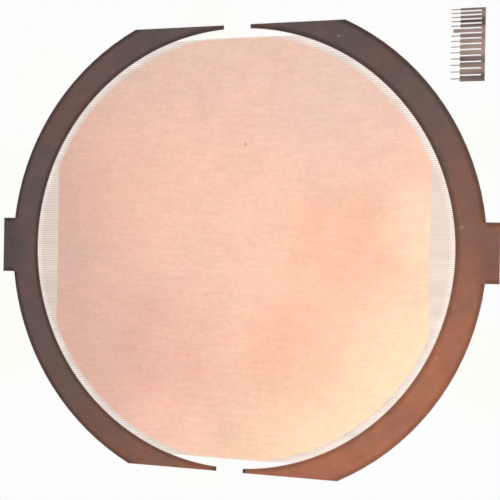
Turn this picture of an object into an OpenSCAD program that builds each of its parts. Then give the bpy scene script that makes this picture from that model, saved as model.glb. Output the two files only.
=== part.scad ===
// Interdigitated electrode chip: two copper combs on a square ceramic tile.
// Each comb is one sheet of copper: a contact tab, a half-ring bus and the
// fingers that cross from it. The two combs interleave and never touch.
// Origin at the centre of the tile's underside, +Z out of the copper face,
// +X towards the right-hand tab, millimetres.

/* [Tile] */
// Side of the square ceramic tile
tile_w = 25.4; // [25:0.1:28]
// Thickness of the ceramic tile
tile_t = 0.635; // [0.3:0.005:1.5]
// Width of the small break along the edges of the tile's two faces
edge_break = 0.05; // [0.02:0.01:0.12]

/* [Copper] */
// Thickness of the copper sheet
copper_t = 0.012; // [0.006:0.002:0.04]

/* [Bus ring] */
// Bare ceramic between the two half rings and the sides of the tile
ring_margin = 1.2; // [0.8:0.05:1.6]
// Width of the half rings, measured along a radius
bus_w = 1.36; // [1.3:0.01:1.8]
// Depth of the flats that cut the ring at its top and bottom
flat_cut = 1.19; // [1:0.01:1.25]
// Gap between the tips of the two half rings
tip_gap = 1.3; // [0.8:0.05:2]

/* [Contact tabs] */
// Width of each tab along the side of the tile
tab_w = 2.63; // [2:0.01:4]
// Bare ceramic between the end of a tab and the side of the tile
tab_margin = 0.67; // [0.2:0.01:0.8]

/* [Fingers] */
// Width of one finger
finger_w = 0.025; // [0.02:0.005:0.08]
// Gap between neighbouring fingers, which belong to opposite combs
finger_gap = 0.02; // [0.02:0.005:0.08]
// Gap between the finger tips and the inner circle of the facing half ring
tip_clear = 0.34; // [0.2:0.02:0.6]
// Band beside each half ring, at mid height, that only its own fingers cross
side_band = 1.1; // [0.6:0.05:2]
// Bare ceramic between the outermost fingers and the ring's inner circle
end_band = 0.43; // [0.3:0.01:1]
// Length of each finger's root that lies inside its half ring, along a radius
root_lap = 0.5; // [0.2:0.05:1]

/* [Corner mark] */
// Number of bars in the line-width gauge
bar_count = 14; // [8:1:15]
// Length of the bars, rail included
bar_len = 1.06; // [0.8:0.02:1.2]
// Thickness of the thinnest bar, at the top of the gauge
bar_thin = 0.09; // [0.05:0.01:0.12]
// Thickness of the thickest bar, at the foot of the gauge
bar_thick = 0.24; // [0.12:0.01:0.26]
// Gap between neighbouring bars
bar_gap = 0.065; // [0.05:0.005:0.08]
// Width of the rail that joins the bars
rail_w = 0.16; // [0.1:0.01:0.3]
// Length of the hairline at the free end of each bar
hair_len = 0.39; // [0.2:0.01:0.45]
// Thickness of the hairlines
hair_w = 0.03; // [0.02:0.005:0.05]
// Number of the bar, from the top, that carries the index instead
index_bar = 6; // [1:1:8]
// Length of the index, which is as thick as its bar
index_len = 0.3; // [0.2:0.01:0.4]
// Clearance between the ring and the nearest corner of the gauge
mark_clear = 0.77; // [0.4:0.01:1]
// Direction of that corner from the centre of the tile, in degrees
mark_angle = 37; // [36:0.5:40]

/* [Hidden] */
$fn = 180;

// Tile and ring
half_w = tile_w / 2;
ring_r = half_w - ring_margin;
inner_r = ring_r - bus_w;
flat_y = ring_r - flat_cut;

// Finger field
pitch = finger_w + finger_gap;
tip_r = inner_r - tip_clear;
tip_x = inner_r - side_band;
field_y = inner_r - end_band;
row_count = 2 * floor(field_y / pitch);

// Half the chord of a circle of radius r at height y
function chord_x(r, y) = sqrt(r * r - y * y);

// Height of a finger's centre line, counted from the lowest finger
function row_y(row) = (row - (row_count - 1) / 2) * pitch;

// Thickness of a gauge bar, counted from the top
function bar_t(bar) = bar_thin + (bar_thick - bar_thin) * bar / (bar_count - 1);

// Drop from the top of the gauge to the foot of a bar: the bars down to it, as
// the sum of an even series, and the gaps between them
function bar_foot(bar) = (bar + 1) * (bar_thin + bar_t(bar)) / 2 + bar * bar_gap;
gauge_h = bar_foot(bar_count - 1);

// Upright section of the tile: a rectangle with broken corners
module broken_section(width) {
    polygon([
        [-width / 2 + edge_break, 0],
        [width / 2 - edge_break, 0],
        [width / 2, edge_break],
        [width / 2, tile_t - edge_break],
        [width / 2 - edge_break, tile_t],
        [-width / 2 + edge_break, tile_t],
        [-width / 2, tile_t - edge_break],
        [-width / 2, edge_break]
    ]);
}

// The tile's section run along Y
module broken_bar() {
    translate([0, half_w, 0])
        rotate([90, 0, 0])
            linear_extrude(tile_w)
                broken_section(tile_w);
}

// Square tile, the overlap of two crossed bars, with a small break along the
// edges of its two faces
module substrate() {
    color("whitesmoke")
        intersection() {
            broken_bar();
            rotate([0, 0, 90]) broken_bar();
        }
}

// Half ring on the left, cut by the two flats and by the gap at its tips
module half_ring() {
    intersection() {
        difference() {
            circle(ring_r);
            circle(inner_r);
        }
        translate([-ring_r, -flat_y])
            square([ring_r - tip_gap / 2, 2 * flat_y]);
    }
}

// Contact tab, from inside the half ring out to the side of the tile
module tab() {
    root_x = inner_r + root_lap;
    translate([tab_margin - half_w, -tab_w / 2])
        square([half_w - tab_margin - root_x, tab_w]);
}

// One finger, from inside the left half ring to its tip on the right
module finger(row) {
    y = row_y(row);
    far_y = abs(y) + finger_w / 2;
    root_x = chord_x(inner_r + root_lap, far_y);
    end_x = min(tip_x, chord_x(tip_r, far_y));
    translate([-root_x, y - finger_w / 2])
        square([root_x + end_x, finger_w]);
}

// One whole comb as seen from above
module comb_outline() {
    half_ring();
    tab();
    for (row = [0 : 2 : row_count - 2]) finger(row);
}

// One comb lying on the tile
module comb() {
    color("peru")
        translate([0, 0, tile_t])
            linear_extrude(copper_t)
                comb_outline();
}

module left_electrode() {
    comb();
}

// The other comb is the same sheet turned half round, which puts its fingers
// in the gaps of the first
module right_electrode() {
    rotate([0, 0, 180]) comb();
}

// A strip of the gauge that lies along a bar's centre line
module strip(bar, start_x, length, thickness) {
    centre_y = gauge_h - bar_foot(bar) + bar_t(bar) / 2;
    translate([start_x, centre_y - thickness / 2])
        square([length, thickness]);
}

// Gauge outline: bars that grow thicker downwards, joined by a rail. Each runs
// on into a hairline at its free end, and one into the index.
module gauge_outline() {
    translate([hair_len + bar_len - rail_w, 0])
        square([rail_w, gauge_h]);
    for (bar = [0 : bar_count - 1]) {
        indexed = bar == index_bar - 1;
        tail_len = indexed ? index_len : hair_len;
        tail_t = indexed ? bar_t(bar) : hair_w;
        strip(bar, hair_len, bar_len, bar_t(bar));
        strip(bar, hair_len - tail_len, tail_len + bar_len / 2, tail_t);
    }
}

// Line-width gauge in the top right-hand corner, in the same copper
module corner_mark() {
    corner_r = ring_r + mark_clear;
    color("saddlebrown")
        translate([corner_r * cos(mark_angle), corner_r * sin(mark_angle), tile_t])
            linear_extrude(copper_t)
                gauge_outline();
}

substrate();
left_electrode();
right_electrode();
corner_mark();
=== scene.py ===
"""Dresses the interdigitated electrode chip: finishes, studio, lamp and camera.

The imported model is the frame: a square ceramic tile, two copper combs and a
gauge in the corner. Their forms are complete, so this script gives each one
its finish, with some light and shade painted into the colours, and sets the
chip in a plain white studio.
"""

from __future__ import annotations

import logging
import math
from dataclasses import dataclass
from enum import Enum

import bmesh
import bpy
from mathutils import Matrix, Vector

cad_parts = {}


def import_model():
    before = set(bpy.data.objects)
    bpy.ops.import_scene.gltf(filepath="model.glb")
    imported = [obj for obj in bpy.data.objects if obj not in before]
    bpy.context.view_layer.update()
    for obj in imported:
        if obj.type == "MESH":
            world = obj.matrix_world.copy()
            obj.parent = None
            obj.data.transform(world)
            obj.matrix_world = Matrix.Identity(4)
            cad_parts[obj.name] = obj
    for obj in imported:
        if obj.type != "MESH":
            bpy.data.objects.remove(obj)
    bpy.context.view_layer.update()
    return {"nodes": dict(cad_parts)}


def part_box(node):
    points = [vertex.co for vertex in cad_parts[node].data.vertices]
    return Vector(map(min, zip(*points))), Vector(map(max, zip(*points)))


LOG = logging.getLogger("chip")
MM = 0.001
PER_MM = 1 / MM

Triple = tuple[float, float, float]
Colour = Triple

WHITE: Colour = (1.0, 1.0, 1.0)
CREAM: Colour = (0.968, 0.966, 0.89)
IN_FACE: Triple = (1.0, 1.0, 0.0)
ALONG_FINGERS: Triple = (0.1, 1.0, 1.0)
OFF_GRID: Triple = (0.61, 0.47, 0.35)


class Node(Enum):
    """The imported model's pieces."""

    TILE = "substrate"
    LEFT_COMB = "left_electrode"
    RIGHT_COMB = "right_electrode"
    GAUGE = "corner_mark"


class Signal:
    """An output of a shader node that takes part in Python arithmetic."""

    def __init__(self, bench: Bench, socket: bpy.types.NodeSocket) -> None:
        """Wraps an output socket of a bench's tree."""
        self.bench = bench
        self.socket = socket

    def at(self, output: str) -> Signal:
        """Another output of the same node."""
        return Signal(self.bench, self.socket.node.outputs[output])

    def _math(self, operation: str, *terms: Level) -> Signal:
        """One Math node, with its inputs in order."""
        inputs = dict(enumerate(terms))
        return self.bench.add("ShaderNodeMath", {"operation": operation}, inputs)

    def __add__(self, other: Level) -> Signal:
        """The sum."""
        return self._math("ADD", self, other)

    __radd__ = __add__

    def __sub__(self, other: Level) -> Signal:
        """The difference."""
        return self._math("SUBTRACT", self, other)

    def __rsub__(self, other: Level) -> Signal:
        """The difference with the sides changed over."""
        return self._math("SUBTRACT", other, self)

    def __mul__(self, other: Level) -> Signal:
        """The product."""
        return self._math("MULTIPLY", self, other)

    __rmul__ = __mul__

    def __abs__(self) -> Signal:
        """The size without its sign."""
        return self._math("ABSOLUTE", self)

    def below(self, limit: float, width: float) -> Signal:
        """A soft mask that is 1 under a limit and 0 over it."""
        return 1 - self.above(limit, width)

    def above(self, limit: float, width: float) -> Signal:
        """A soft mask that is 1 over a limit and 0 under it.

        Args:
            limit: Where the mask has risen to a half.
            width: How wide the change is.

        Returns:
            The mask, from 0 to 1.
        """
        ends = {"From Min": limit - width / 2, "From Max": limit + width / 2}
        settings = {"interpolation_type": "SMOOTHSTEP"}
        return self.bench.add("ShaderNodeMapRange", settings, {"Value": self, **ends})


Level = Signal | float
Paint = Signal | Colour


class Bench:
    """A node tree, with one method that adds any node."""

    def __init__(self, owner: bpy.types.Material | bpy.types.World) -> None:
        """Clears the tree of a material or a world.

        Args:
            owner: The material or the world.
        """
        owner.use_nodes = True
        self.owner = owner
        self.tree = owner.node_tree
        self.tree.nodes.clear()

    @classmethod
    def material(cls, name: str) -> Bench:
        """The bench of a new material."""
        return cls(bpy.data.materials.new(name))

    def add(
        self,
        kind: str,
        settings: dict[str, object] | None = None,
        inputs: dict[str | int, object] | None = None,
        output: str | int = 0,
    ) -> Signal:
        """Adds a node.

        Args:
            kind: The node's type.
            settings: Its properties, or a ramp's stops, set before its inputs.
            inputs: A value or a signal for each socket, by name or number.
            output: The socket that is wanted, by name or number.

        Returns:
            The wanted output.
        """
        node = self.tree.nodes.new(kind)
        for name, value in (settings or {}).items():
            if name == "stops":
                self._set_stops(node.color_ramp, value)
            else:
                setattr(node, name, value)
        for key, value in (inputs or {}).items():
            socket = self._socket(node.inputs, key)
            if isinstance(value, Signal):
                self.tree.links.new(value.socket, socket)
            else:
                socket.default_value = value
        return Signal(self, self._socket(node.outputs, output))

    @staticmethod
    def _set_stops(ramp: bpy.types.ColorRamp, colours: tuple[Colour, ...]) -> None:
        """Spaces colours evenly along a ramp.

        Args:
            ramp: The ramp, which has two stops to begin with.
            colours: Two colours or more, first to last.
        """
        while len(ramp.elements) < len(colours):
            ramp.elements.new(0.5)
        for number, colour in enumerate(colours):
            ramp.elements[number].position = number / (len(colours) - 1)
            ramp.elements[number].color = (*colour, 1.0)

    @staticmethod
    def _socket(sockets: bpy.types.NodeInputs, key: str | int) -> bpy.types.NodeSocket:
        """Finds a socket.

        Args:
            sockets: A node's inputs or outputs.
            key: The socket's number, identifier or name.

        Returns:
            The socket.
        """
        if isinstance(key, int):
            return sockets[key]
        for socket in sockets:
            if socket.identifier == key:
                return socket
        return sockets[key]

    def spot(self) -> Spot:
        """Reads the shaded point.

        Returns:
            The point, in millimetres.
        """
        metres = self.add("ShaderNodeTexCoord", output="Object")
        place = self.vector("SCALE", metres, Scale=PER_MM)
        parts = self.add("ShaderNodeSeparateXYZ", inputs={0: place})
        radius = self.vector("LENGTH", self.vector("MULTIPLY", place, IN_FACE))
        return Spot(place, parts.at("X"), parts.at("Y"), radius)

    def vector(self, operation: str, *terms: Paint, **inputs: Level) -> Signal:
        """One Vector Math node.

        Args:
            operation: The node's operation.
            terms: Its vectors in order.
            inputs: Other sockets by name.

        Returns:
            The node's result, a number for LENGTH and DISTANCE and a vector
            otherwise.
        """
        sockets = {**dict(enumerate(terms)), **inputs}
        output = "Value" if operation in ("LENGTH", "DISTANCE") else 0
        return self.add("ShaderNodeVectorMath", {"operation": operation}, sockets, output)

    def shade(self, colour: Paint, level: Signal) -> Signal:
        """A colour made lighter or darker by a level around one."""
        return self.vector("SCALE", colour, Scale=level)

    def mix(self, low: Paint, high: Paint, share: Level) -> Signal:
        """Mixes two colours.

        Args:
            low: The colour at share 0.
            high: The colour at share 1.
            share: The share of the second, a signal or a number.

        Returns:
            The mixed colour.
        """
        inputs = {"Factor_Float": share}
        for key, colour in (("A_Color", low), ("B_Color", high)):
            inputs[key] = colour if isinstance(colour, Signal) else (*colour, 1.0)
        return self.add("ShaderNodeMix", {"data_type": "RGBA"}, inputs, "Result_Color")

    def ramp(self, share: Signal, colours: tuple[Colour, ...]) -> Signal:
        """Runs through evenly spaced colours as a share goes from 0 to 1."""
        settings = {"stops": colours}
        return self.add("ShaderNodeValToRGB", settings, {"Fac": share}, "Color")

    def show(self, surface: Signal) -> bpy.types.Material | bpy.types.World:
        """Makes a shader the surface of the tree's owner.

        Args:
            surface: The shader.

        Returns:
            The owner.
        """
        kind = "World" if isinstance(self.owner, bpy.types.World) else "Material"
        end = self.tree.nodes.new(f"ShaderNodeOutput{kind}")
        self.tree.links.new(surface.socket, end.inputs["Surface"])
        return self.owner


@dataclass(frozen=True)
class Spot:
    """The shaded point, in millimetres from the chip's middle."""

    place: Signal
    x: Signal
    y: Signal
    radius: Signal

    @property
    def bench(self) -> Bench:
        """The bench that reads the point."""
        return self.place.bench

    def near(self, x: float, y: float, reach: float) -> Signal:
        """A soft round mask about a place, which falls to a half at its reach."""
        flat = self.bench.vector("MULTIPLY", self.place, IN_FACE)
        return self.bench.vector("DISTANCE", flat, (x, y, 0.0)).below(reach, reach)


@dataclass(frozen=True)
class Noise:
    """Smooth noise around nought.

    It has so many lumps to a millimetre and so many finer layers. The stretch
    is what the point is multiplied by, axis by axis. A tilt, in radians, turns
    the noise out of the face, so that no grid of its lumps shows.
    """

    per_mm: float
    detail: float = 2.0
    swing: float = 1.0
    stretch: Triple = (1.0, 1.0, 1.0)
    tilt: Triple | None = None

    def on(self, spot: Spot) -> Signal:
        """Reads the noise.

        Args:
            spot: The shaded point.

        Returns:
            The noise, from about -0.5 to 0.5 times its swing.
        """
        bench = spot.bench
        place = bench.vector("MULTIPLY", spot.place, self.stretch)
        if self.tilt:
            inputs = {"Vector": place, "Rotation": self.tilt}
            place = bench.add("ShaderNodeMapping", inputs=inputs)
        inputs = {"Vector": place, "Scale": self.per_mm, "Detail": self.detail}
        lumps = bench.add("ShaderNodeTexNoise", inputs=inputs, output="Fac")
        return (lumps - 0.5) * self.swing


@dataclass(frozen=True)
class Blotches:
    """Soft blotches where a noise is over a limit."""

    noise: Noise
    limit: float
    width: float
    share: float = 1.0

    def on(self, spot: Spot) -> Signal:
        """Their mask, from 0 to their share."""
        return self.noise.on(spot).above(self.limit, self.width) * self.share


@dataclass(frozen=True)
class Patch:
    """A soft round place on the face, with a colour laid over what lies there."""

    x: float
    y: float
    reach: float
    colour: Colour
    share: float = 1.0

    def over(self, spot: Spot, colour: Paint) -> Signal:
        """Lays the patch's colour over another."""
        mask = spot.near(self.x, self.y, self.reach) * self.share
        return spot.bench.mix(colour, self.colour, mask)

    def tint(self, spot: Spot, colour: Paint) -> Signal:
        """Multiplies another colour by the patch's."""
        return spot.bench.vector("MULTIPLY", colour, self.over(spot, WHITE))


@dataclass(frozen=True)
class Slant:
    """A slow change across the chip, along a line in its face."""

    angle: float
    start: float
    end: float
    reach: float = 11.5

    def share(self, spot: Spot, sway: Level = 0.0) -> Signal:
        """How far along the change a point is.

        Args:
            spot: The shaded point.
            sway: How far the change is pushed about there.

        Returns:
            The share, from 0 to 1.
        """
        along = spot.x * math.cos(self.angle) + spot.y * math.sin(self.angle)
        swayed = along * (1 / self.reach) + sway
        return swayed.above((self.start + self.end) / 2, self.end - self.start)


@dataclass(frozen=True)
class Skin:
    """How rough and how finely grained a surface is."""

    grain: Noise
    roughness: float
    rough_swing: float
    relief_mm: float
    relief_share: float

    def finish(self, spot: Spot, base: Signal, metallic: float) -> bpy.types.Material:
        """Ends a tree with a Principled surface.

        Args:
            spot: The shaded point.
            base: The surface's colour.
            metallic: 1 for a metal and 0 for anything else.

        Returns:
            The material.
        """
        bench = spot.bench
        grain = self.grain.on(spot)
        relief = {"Distance": self.relief_mm * MM, "Strength": self.relief_share}
        surface = {
            "Base Color": base,
            "Metallic": metallic,
            "Roughness": self.roughness + grain * self.rough_swing,
            "Normal": bench.add("ShaderNodeBump", inputs={"Height": grain, **relief}),
        }
        return bench.show(bench.add("ShaderNodeBsdfPrincipled", inputs=surface))


@dataclass(frozen=True)
class ChipPlan:
    """Where the copper lies on the tile, in millimetres from the middle."""

    half_w: float
    ring_margin: float = 1.2
    bus_w: float = 1.36
    tab_half: float = 1.315
    end_band: float = 0.43
    side_band: float = 1.1
    tip_clear: float = 0.34
    rim_w: float = 0.18
    soft: float = 0.04

    @classmethod
    def measured(cls) -> ChipPlan:
        """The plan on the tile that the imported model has."""
        return cls(half_w=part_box(Node.TILE.value)[1].x * PER_MM)

    @property
    def outer_r(self) -> float:
        """Radius of the ring's outer circle."""
        return self.half_w - self.ring_margin

    @property
    def inner_r(self) -> float:
        """Radius of the ring's inner circle."""
        return self.outer_r - self.bus_w

    def _in_rows(self, spot: Spot) -> Signal:
        """The heights that any fingers lie at, between the bare ends."""
        return abs(spot.y).below(self.inner_r - self.end_band, self.soft)

    def fingered(self, spot: Spot) -> Signal:
        """Where any fingers lie: inside the ring, between its bare ends."""
        return spot.radius.below(self.inner_r, self.soft) * self._in_rows(spot)

    def overlapped(self, spot: Spot) -> Signal:
        """Where the fingers of both combs lie side by side.

        Args:
            spot: The shaded point.

        Returns:
            The mask, from 0 to 1.
        """
        inside = spot.radius.below(self.inner_r - self.tip_clear, self.soft)
        between = abs(spot.x).below(self.inner_r - self.side_band, self.soft)
        return inside * between * self._in_rows(spot)

    def on_bus(self, spot: Spot) -> Signal:
        """The half rings and their tabs."""
        return spot.radius.above(self.inner_r, self.soft)

    def rim(self, spot: Spot) -> Signal:
        """The narrow edges of the half rings and their tabs.

        Args:
            spot: The shaded point.

        Returns:
            The mask, from 0 to 1.
        """
        beyond = abs(spot.y).above(self.tab_half, self.soft)
        inner = spot.radius.below(self.inner_r + self.rim_w, self.rim_w)
        outer = spot.radius.above(self.outer_r - self.rim_w, self.rim_w) * beyond
        side = abs(spot.y).above(self.tab_half - self.rim_w, self.rim_w) * (1 - beyond)
        tab = side * spot.radius.above(self.outer_r, self.soft)
        return inner + outer + tab


@dataclass(frozen=True)
class Tones:
    """The colours of one surface over the finger field.

    The drift runs from darker at the left to lighter at the right as painted
    shading, the veil lies over the top, and the painted highlight makes the lower
    right lighter and warmer.
    """

    drift: tuple[Colour, ...]
    veil: Colour
    painted_highlight: Colour


@dataclass(frozen=True)
class FieldDrift:
    """How the colour drifts over the finger field, alike on copper and ceramic:
    a painted shading from darker at the left to lighter at the right, a painted
    highlight over the lower right, a veil over the top, and stains, mottle and grain.
    """

    # Painted shading: the drift's ramp runs from darker at the left to lighter at the right, as
    # the light falls.
    turn: Slant = Slant(0.0, start=-0.95, end=0.95)
    # Painted highlight: the lower right made lighter and warmer, where the light's reflection
    # falls.
    painted_highlight: Slant = Slant(math.radians(-48), start=0.35, end=0.95)
    veil: Slant = Slant(math.radians(90), start=0.2, end=0.9)
    sweep: Noise = Noise(0.15, swing=0.5)
    cloud: Noise = Noise(1.1, swing=0.3)
    mottle: tuple[Colour, Colour] = ((1.03, 0.945, 1.01), (0.97, 1.05, 0.98))
    mottling: Noise = Noise(1.3, 3.0)
    shade: Noise = Noise(0.7, 3.0, 0.12)
    speckle: Noise = Noise(6.1, 1.0, 0.19, (0.7, 1.0, 1.0), OFF_GRID)
    streak: Noise = Noise(8.3, 1.0, 0.15, ALONG_FINGERS, OFF_GRID)
    stains: tuple[Patch, ...] = (
        Patch(5.2, 0.4, 2.6, (0.96, 0.92, 0.90)),
        Patch(3.0, -4.8, 2.4, (0.98, 0.92, 0.90)),
        Patch(-3.0, -5.0, 2.6, (0.99, 0.94, 0.95)),
        Patch(5.2, 5.4, 3.2, (0.94, 0.985, 1.02)),
        Patch(-3.4, -8.6, 2.2, (1.10, 1.10, 1.09)),
        Patch(-4.5, 4.0, 3.0, (1.04, 1.03, 1.0)),
        Patch(-4.8, 0.2, 1.8, (1.04, 1.03, 1.01)),
        Patch(-8.7, -0.6, 1.6, (0.95, 0.99, 1.0)),
        Patch(8.6, 1.1, 1.6, (1.0, 1.13, 1.12)),
        Patch(0.5, 4.8, 0.08, (0.76, 0.77, 0.80)),
        Patch(-4.6, -5.7, 0.08, (0.83, 0.83, 0.86)),
        Patch(-7.2, 1.6, 0.3, (0.95, 0.94, 0.96)),
        Patch(-3.2, 6.6, 0.07, (0.87, 0.87, 0.89)),
    )

    def share(self, spot: Spot) -> Signal:
        """How far the drift has gone, from 0 to 1."""
        return self.turn.share(spot, self.sweep.on(spot) + self.cloud.on(spot))

    def tone(self, spot: Spot, tones: Tones) -> Signal:
        """A drifting colour, with short streaks along the fingers.

        Args:
            spot: The shaded point.
            tones: The colours that it drifts through.

        Returns:
            The colour.
        """
        bench = spot.bench
        # The ramp is painted shading, darker at the left; the veil goes over the top and the
        # painted highlight over the lower right.
        colour = bench.ramp(self.share(spot), tones.drift)
        colour = bench.mix(colour, tones.veil, self.veil.share(spot))
        colour = bench.mix(colour, tones.painted_highlight, self.painted_highlight.share(spot))
        for stain in self.stains:
            colour = stain.tint(spot, colour)
        mottle = bench.mix(*self.mottle, self.mottling.on(spot) + 0.5)
        colour = bench.vector("MULTIPLY", colour, mottle)
        grains = self.shade.on(spot) + self.speckle.on(spot) + self.streak.on(spot)
        return bench.shade(colour, 1 + grains)


@dataclass(frozen=True)
class FiredCeramic:
    """White fired ceramic, matt and finely grained, with the copper's reflected light painted onto
    it between the fingers.
    """

    plan: ChipPlan
    drift: FieldDrift = FieldDrift()
    body: Colour = (0.965, 0.965, 0.963)
    creams: tuple[Patch, ...] = (
        Patch(-12.0, -4.1, 2.4, CREAM),
        Patch(-12.0, 3.4, 1.8, CREAM, 0.55),
        Patch(11.7, -5.0, 1.9, CREAM),
        Patch(12.2, 4.6, 1.8, CREAM, 0.6),
        Patch(-1.5, 10.4, 1.2, CREAM, 0.6),
        Patch(-1.5, -10.1, 1.1, CREAM, 0.5),
        Patch(-9.6, 7.6, 2.0, CREAM, 0.4),
    )
    fleck: Colour = (0.90, 0.895, 0.88)
    flecks: Blotches = Blotches(Noise(9.0, 3.0), limit=0.12, width=0.2, share=0.4)
    # Painted light reflected from the copper onto the ceramic where one comb's fingers run.
    band_painted_bounce: tuple[Colour, ...] = ((0.765, 0.695, 0.635), (0.802, 0.72, 0.65))
    # Near the half ring the painted reflected light is weaker.
    untinted_w: float = 0.2
    untinted_share: float = 0.6
    rungs: Noise = Noise(1.8, 3.0, 0.5, ALONG_FINGERS)
    # Painted light reflected from the copper onto the ceramic where both combs' fingers run.
    gap_painted_bounce: Tones = Tones(
        # Painted shading of the ceramic between the fingers: darker at the left, lighter towards
        # the right.
        drift=(
            (0.76, 0.565, 0.49),
            (0.816, 0.625, 0.521),
            (0.81, 0.622, 0.513),
            (0.84, 0.618, 0.51),
        ),
        veil=(0.78, 0.66, 0.60),
        # Painted highlight of the ceramic between the fingers over the lower right.
        painted_highlight=(0.87, 0.79, 0.58),
    )
    skin: Skin = Skin(
        grain=Noise(9.0, 3.0),
        roughness=0.55,
        rough_swing=0.1,
        relief_mm=0.004,
        relief_share=0.4,
    )

    def material(self) -> bpy.types.Material:
        """Builds the finish.

        Returns:
            The material.
        """
        bench = Bench.material("fired_ceramic")
        spot = bench.spot()
        # Between the fingers the ceramic carries painted copper-tinted reflected light.
        colour = bench.mix(self._bare(spot), self._band(spot), self.plan.fingered(spot))
        gap_painted_bounce = self.drift.tone(spot, self.gap_painted_bounce)
        colour = bench.mix(colour, gap_painted_bounce, self.plan.overlapped(spot))
        return self.skin.finish(spot, colour, metallic=0.0)

    def _bare(self, spot: Spot) -> Signal:
        """The open ceramic: white, with faint cream stains and fine flecks.

        Args:
            spot: The shaded point.

        Returns:
            The colour.
        """
        colour = self.body
        for cream in self.creams:
            colour = cream.over(spot, colour)
        return spot.bench.mix(colour, self.fleck, self.flecks.on(spot))

    def _band(self, spot: Spot) -> Signal:
        """The ceramic that one comb's fingers cross, rung by rung, under painted light reflected
        from the copper.

        Args:
            spot: The shaded point.

        Returns:
            The colour, with less of the painted tint along the half ring.
        """
        bench = spot.bench
        colour = bench.ramp(self.drift.share(spot), self.band_painted_bounce)
        beside = spot.radius.above(self.plan.inner_r - self.untinted_w, self.untinted_w)
        colour = bench.mix(colour, self.body, beside * self.untinted_share)
        return bench.shade(colour, 1 + self.rungs.on(spot))


@dataclass(frozen=True)
class CombCopper:
    """Bare copper: tarnished brown on the buses and bright on the fingers."""

    plan: ChipPlan
    drift: FieldDrift = FieldDrift()
    # From dark brown at the upper left to red copper at the lower right: partly tarnish, partly
    # painted reflection brightening the lower right.
    bus: tuple[Colour, ...] = (
        (0.104, 0.070, 0.063),
        (0.128, 0.074, 0.061),
        (0.165, 0.077, 0.054),
        (0.292, 0.114, 0.067),
    )
    bus_turn: Slant = Slant(math.radians(-55), start=-0.4, end=1.1)
    bus_sway: Noise = Noise(0.15, swing=0.2)
    # Painted shade over the right of the half rings, against the lamp's highlight there.
    bus_painted_shade: Slant = Slant(0.0, start=-0.3, end=0.7)
    dim: float = 0.2
    mottle: tuple[Colour, Colour] = ((0.96, 1.01, 1.03), (1.06, 0.98, 0.96))
    mottling: Blotches = Blotches(Noise(0.55, 1.0), limit=0.0, width=0.24)
    bloom: Colour = (0.135, 0.068, 0.056)
    blooms: Blotches = Blotches(Noise(0.5), limit=0.02, width=0.25, share=0.2)
    smear: Noise = Noise(1.1, swing=0.25)
    smudge: Noise = Noise(4.0, 3.0, 0.25)
    # Painted shade along the copper's edges, weaker where the slant runs on.
    rim_shade_level: float = 0.58
    rim_shade_fade: float = 0.4
    patches: tuple[Patch, ...] = (
        Patch(-12.5, 0.0, 1.6, (0.072, 0.059, 0.055), 0.9),
        Patch(12.2, -0.7, 1.2, (0.11, 0.056, 0.044), 0.6),
        Patch(-4.0, 10.2, 2.2, (0.078, 0.062, 0.060), 0.5),
        Patch(4.0, 10.2, 2.2, (0.078, 0.062, 0.060), 0.5),
        # The next two are painted shade at the ends of the half rings at the bottom.
        Patch(-0.65, -10.2, 0.16, (0.062, 0.042, 0.035), 0.8),
        Patch(0.65, -10.2, 0.16, (0.05, 0.034, 0.029), 0.85),
        Patch(4.8, 9.6, 0.07, (0.36, 0.25, 0.20), 0.3),
        Patch(10.4, 1.1, 0.08, (0.36, 0.20, 0.15), 0.3),
        Patch(9.4, -4.6, 0.08, (0.42, 0.22, 0.15), 0.3),
    )
    finger: Tones = Tones(
        # Painted shading of the fingers: darker at the left, lighter towards the right.
        drift=(
            (0.64, 0.37, 0.295),
            (0.703, 0.408, 0.301),
            (0.70, 0.406, 0.290),
            (0.71, 0.405, 0.287),
        ),
        veil=(0.68, 0.427, 0.336),
        # Painted highlight of the fingers over the lower right.
        painted_highlight=(0.75, 0.53, 0.35),
    )
    lone: Colour = (0.52, 0.42, 0.37)
    lone_share: float = 0.5
    skin: Skin = Skin(
        grain=Noise(14.0, 3.0),
        roughness=0.34,
        rough_swing=0.12,
        relief_mm=0.002,
        relief_share=0.3,
    )

    def material(self) -> bpy.types.Material:
        """Builds the finish.

        Returns:
            The material.
        """
        bench = Bench.material("comb_copper")
        spot = bench.spot()
        colour = bench.mix(self._fingers(spot), self._bus(spot), self.plan.on_bus(spot))
        return self.skin.finish(spot, colour, metallic=1.0)

    def _fingers(self, spot: Spot) -> Signal:
        """The fingers, duller where they run alone."""
        lone = (1 - self.plan.overlapped(spot)) * self.lone_share
        return spot.bench.mix(self.drift.tone(spot, self.finger), self.lone, lone)

    def _bus(self, spot: Spot) -> Signal:
        """The half rings: a slant from dark brown to red copper that is partly tarnish
        and partly painted reflection, clouds, patches, painted shade over the right
        and painted shade along the rims.

        Args:
            spot: The shaded point.

        Returns:
            The colour.
        """
        bench = spot.bench
        # The slant is partly tarnish and partly painted reflection towards the lower right.
        turn = self.bus_turn.share(spot, self.bus_sway.on(spot))
        colour = bench.ramp(turn, self.bus)
        mottle = bench.mix(*self.mottle, self.mottling.on(spot))
        colour = bench.vector("MULTIPLY", colour, mottle)
        colour = bench.mix(colour, self.bloom, self.blooms.on(spot))
        for patch in self.patches:
            colour = patch.over(spot, colour)
        # Painted shade: darker towards the right, against the lamp's highlight.
        colour = bench.shade(colour, 1 - self.bus_painted_shade.share(spot) * self.dim)
        colour = bench.shade(colour, 1 + (self.smear.on(spot) + self.smudge.on(spot)))
        # Painted shade along the edges of the half rings and their tabs.
        rim = self.plan.rim(spot) * (1 - turn * self.rim_shade_fade)
        return bench.shade(colour, 1 - rim * (1 - self.rim_shade_level))


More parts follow.
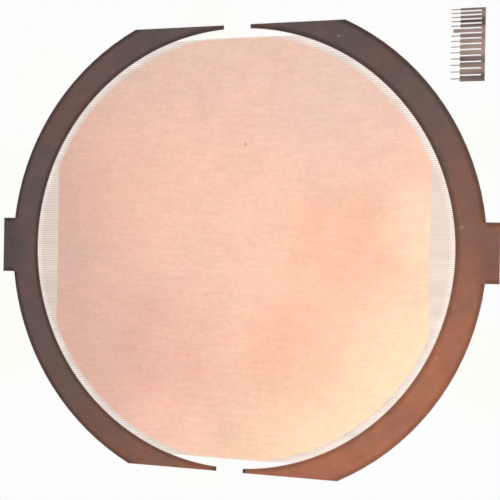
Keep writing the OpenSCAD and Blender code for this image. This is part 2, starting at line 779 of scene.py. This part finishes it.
@dataclass(frozen=True)
class GaugeCopper:
    """The dull brown copper of the corner gauge."""

    dull: Colour = (0.082, 0.060, 0.053)
    pale: Colour = (0.27, 0.195, 0.168)
    pale_share: float = 0.4
    rows: Noise = Noise(2.0, 0.0, 2.5, ALONG_FINGERS)
    clouds: Noise = Noise(3.0, 3.0, 0.5)
    skin: Skin = Skin(
        grain=Noise(3.0, 3.0),
        roughness=0.42,
        rough_swing=0.1,
        relief_mm=0.002,
        relief_share=0.3,
    )

    def material(self) -> bpy.types.Material:
        """Builds the finish.

        Returns:
            The material.
        """
        bench = Bench.material("gauge_copper")
        spot = bench.spot()
        share = self.rows.on(spot) + self.pale_share + self.clouds.on(spot)
        colour = bench.mix(self.dull, self.pale, share)
        return self.skin.finish(spot, colour, metallic=1.0)


@dataclass
class Chip:
    """The chip itself: the tile, the two combs and the gauge."""

    nodes: dict[str, bpy.types.Object]
    plan: ChipPlan

    def dress(self) -> None:
        """Gives every piece its finish."""
        ceramic = FiredCeramic(self.plan).material()
        copper = CombCopper(self.plan).material()
        finishes = {
            Node.TILE: ceramic,
            Node.LEFT_COMB: copper,
            Node.RIGHT_COMB: copper,
            Node.GAUGE: GaugeCopper().material(),
        }
        for node, finish in finishes.items():
            materials = self.nodes[node.value].data.materials
            materials.clear()
            materials.append(finish)
            LOG.info("%s wears %s", node.value, finish.name)


def put_up(name: str, data: bpy.types.ID) -> bpy.types.Object:
    """Puts a new object into the scene.

    Args:
        name: The object's name.
        data: Its mesh, lamp or camera.

    Returns:
        The object.
    """
    thing = bpy.data.objects.new(name, data)
    bpy.context.scene.collection.objects.link(thing)
    LOG.info("%s is up", name)
    return thing


@dataclass
class Studio:
    """A pale floor, a soft lamp and a white surround, in metres and watts."""

    floor_half: float = 0.6
    floor_tone: Colour = (0.9, 0.9, 0.9)
    surround: float = 0.875
    lamp_place: Triple = (-0.06, -0.02, 0.5)
    lamp_width: float = 0.28
    lamp_power: float = 0.37

    def build(self) -> None:
        """Makes the floor, the surround and the lamp."""
        self._floor()
        self._surround()
        self._lamp()

    def _floor(self) -> None:
        """The pale floor that the chip lies on."""
        mesh = bpy.data.meshes.new("floor")
        sheet = bmesh.new()
        bmesh.ops.create_grid(sheet, x_segments=1, y_segments=1, size=self.floor_half)
        sheet.to_mesh(mesh)
        sheet.free()
        floor = put_up("floor", mesh)
        bench = Bench.material("studio_floor")
        paper = bench.add("ShaderNodeBsdfDiffuse", inputs={"Color": (*self.floor_tone, 1.0)})
        floor.data.materials.append(bench.show(paper))

    def _surround(self) -> None:
        """The surround: plain white to look at, and a little dimmer as a light."""
        world = bpy.data.worlds.new("surround")
        bpy.context.scene.world = world
        bench = Bench(world)
        rays = bench.add("ShaderNodeLightPath")
        seen = rays.at("Is Camera Ray") + rays.at("Is Glossy Ray") + rays.at("Is Transmission Ray")
        level = bench.add("ShaderNodeMapRange", inputs={"Value": seen, "To Min": self.surround})
        sky = {"Color": (*WHITE, 1.0), "Strength": level}
        bench.show(bench.add("ShaderNodeBackground", inputs=sky))

    def _lamp(self) -> None:
        """The square soft lamp that looks at the chip."""
        data = bpy.data.lights.new("key_lamp", "AREA")
        data.size = self.lamp_width
        data.energy = self.lamp_power
        place = Vector(self.lamp_place)
        turn = (-place).to_track_quat("-Z", "Y")
        put_up("key_lamp", data).matrix_world = Matrix.LocRotScale(place, turn, None)


@dataclass(frozen=True)
class Viewpoint:
    """The camera, placed in ring radii from the middle of the copper face."""

    ring_r: float
    face_z: float
    stand: Triple = (1.411, 0.012, 4.098)
    aim: Triple = (0.0703, -0.0047, 0.0)
    roll: float = math.radians(1.01)
    lens: float = 77.8
    sensor: float = 36.0
    near_clip: float = 0.001

    def build(self) -> None:
        """Makes the camera and hands it to the scene."""
        data = bpy.data.cameras.new("camera")
        data.lens = self.lens
        data.sensor_width = self.sensor
        data.clip_start = self.near_clip
        camera = put_up("camera", data)
        stand, aim = Vector(self.stand), Vector(self.aim)
        back = (stand - aim).normalized()
        right = Vector((0, 1, 0)).cross(back).normalized()
        level = Matrix((right, back.cross(right), back)).transposed()
        turn = Matrix.Rotation(self.roll, 3, back) @ level
        place = stand * self.ring_r + Vector((0, 0, self.face_z))
        camera.matrix_world = Matrix.LocRotScale(place, turn.to_quaternion(), None)
        bpy.context.scene.camera = camera


def main() -> None:
    """Loads the frame, dresses the chip and builds the studio and the camera."""
    logging.basicConfig(level=logging.INFO, format="%(name)s: %(message)s")
    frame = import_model()
    plan = ChipPlan.measured()
    Chip(frame["nodes"], plan).dress()
    Studio().build()
    face_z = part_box(Node.TILE.value)[1].z
    Viewpoint(plan.outer_r * MM, face_z).build()
    bpy.context.scene.view_settings.view_transform = "Standard"


if __name__ == "__main__":
    main()
